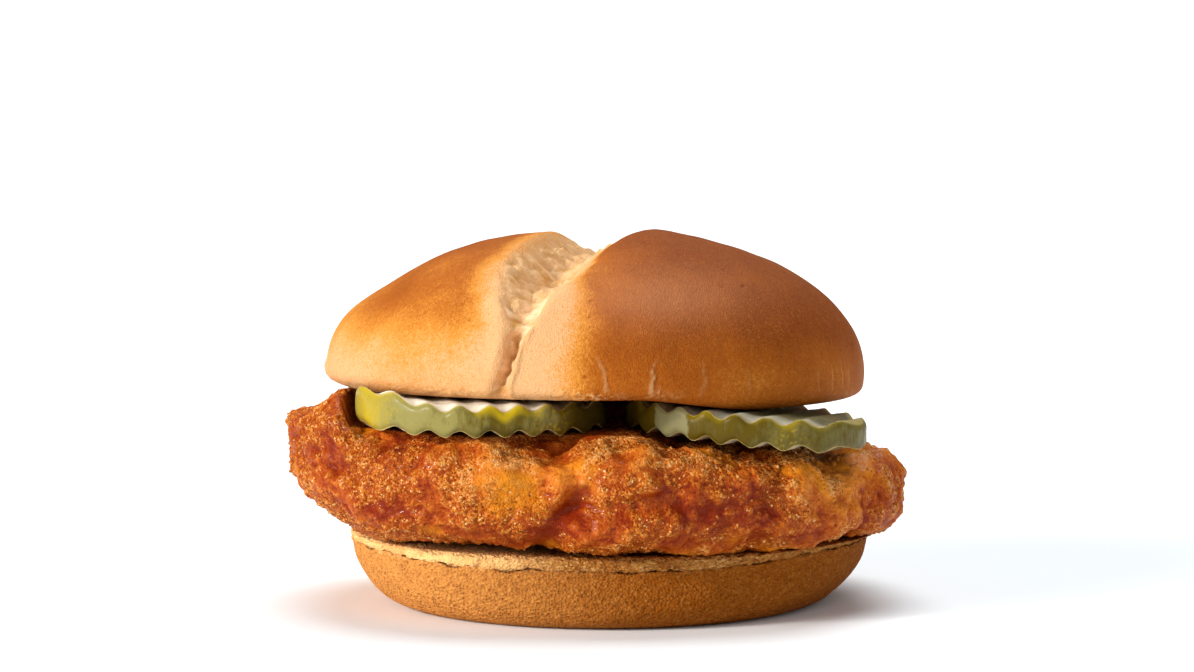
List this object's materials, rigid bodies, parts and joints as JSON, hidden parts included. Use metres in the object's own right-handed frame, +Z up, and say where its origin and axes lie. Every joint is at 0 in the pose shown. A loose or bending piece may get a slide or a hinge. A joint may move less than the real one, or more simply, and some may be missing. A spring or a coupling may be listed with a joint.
{
  "type": "chicken burger",
  "caption": "Fried chicken burger: a glossy split-top bun over crinkle-cut pickle slices and a craggy breaded fillet on a low toasted bottom bun.",
  "frame": {"origin": "middle of the bottom bun's flat underside, on the surface the burger stands on", "axes": "+Z up, +X along the fillet towards its thin end, -Y towards the front, where both pickle slices and the wide end of the split show"},
  "size_m": [0.1206, 0.1101, 0.0716],
  "materials": {
    "bun_wall": "matt baked bread wall",
    "fried_breading": "rough fried breading with an oily shine",
    "pickled_cucumber": "wet olive-green pickle",
    "glazed_crust": "glossy egg-glazed brown crust"
  },
  "bodies": {
    "root": {"bottom_bun": "bun_wall", "chicken_fillet": "fried_breading", "pickle_left": "pickled_cucumber", "pickle_right": "pickled_cucumber", "top_bun": "glazed_crust"}
  },
  "joints": []
}
